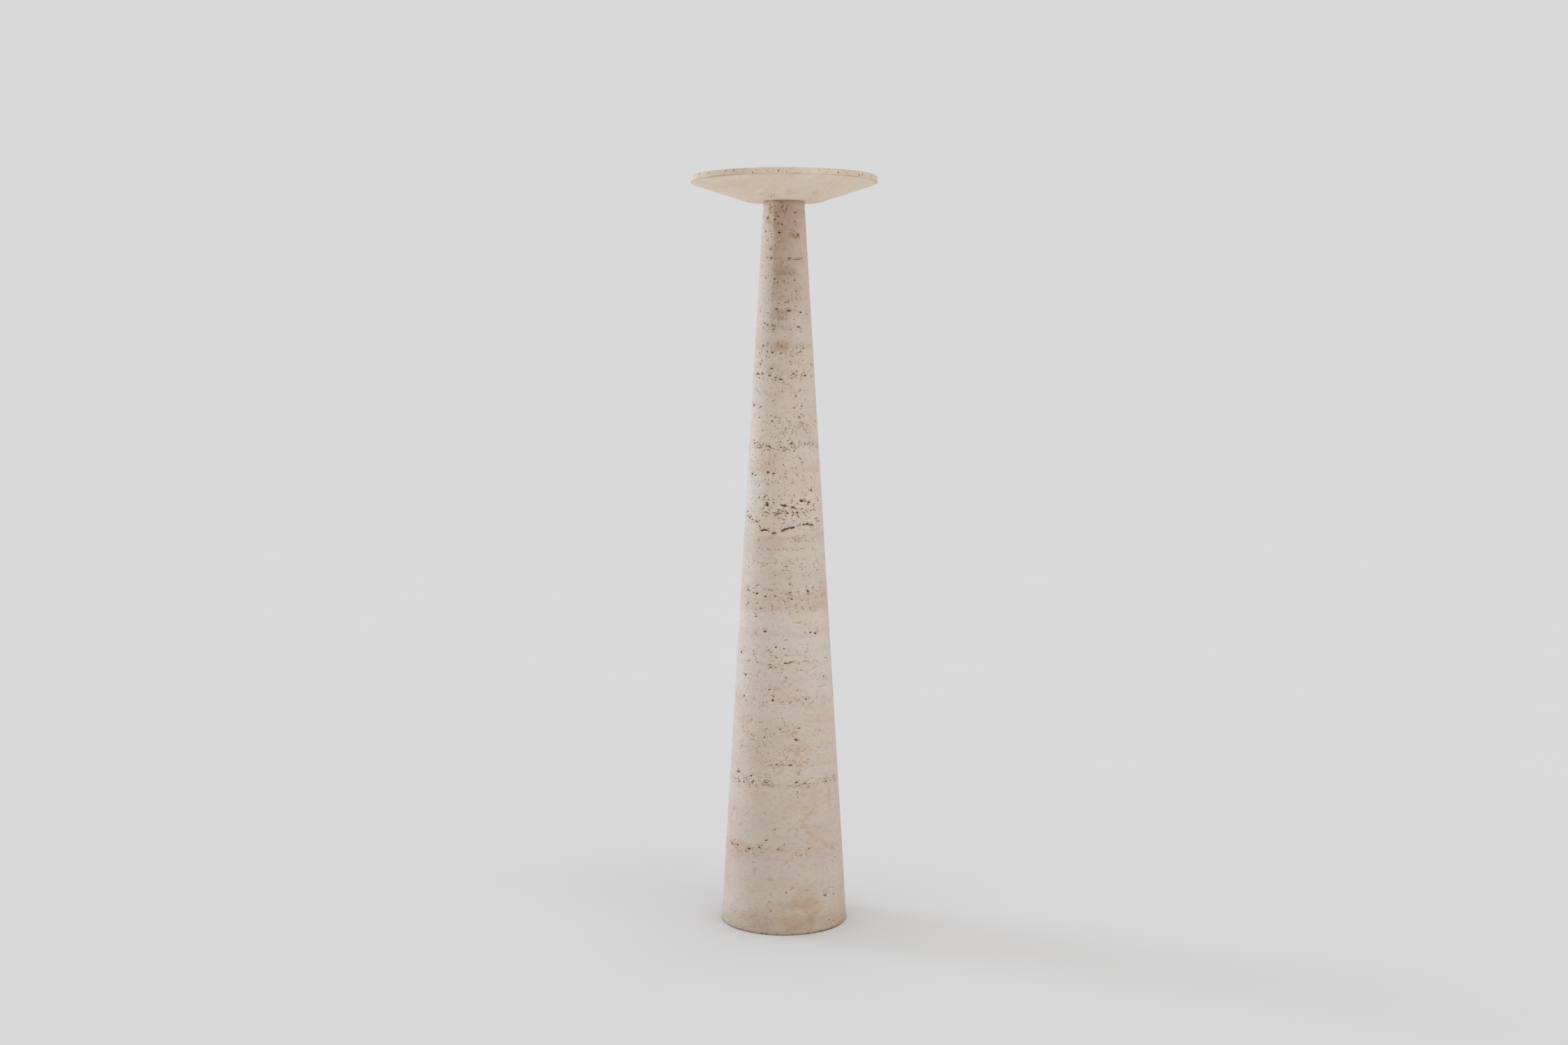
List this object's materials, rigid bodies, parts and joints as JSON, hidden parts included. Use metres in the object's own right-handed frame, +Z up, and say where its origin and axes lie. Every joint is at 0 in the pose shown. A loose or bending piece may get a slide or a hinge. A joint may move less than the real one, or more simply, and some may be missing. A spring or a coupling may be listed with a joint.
{
  "type": "travertine pedestal",
  "caption": "Tall round travertine shaft with a straight taper and open bedding holes, carrying a flared round plate with a thin upright rim; stands on its flat foot to show an object.",
  "frame": {"origin": "centre of the shaft's round foot, on the ground", "axes": "+Z up along the shaft; -Y towards the viewer of the picture; +X to the picture's right"},
  "size_m": [0.309, 0.309, 1.25],
  "materials": {
    "shaft_travertine": "honed, unfilled, soiled at the neck and foot",
    "plate_travertine": "honed, unfilled"
  },
  "bodies": {
    "root": {"shaft": "shaft_travertine", "top_plate": "plate_travertine"}
  },
  "joints": []
}
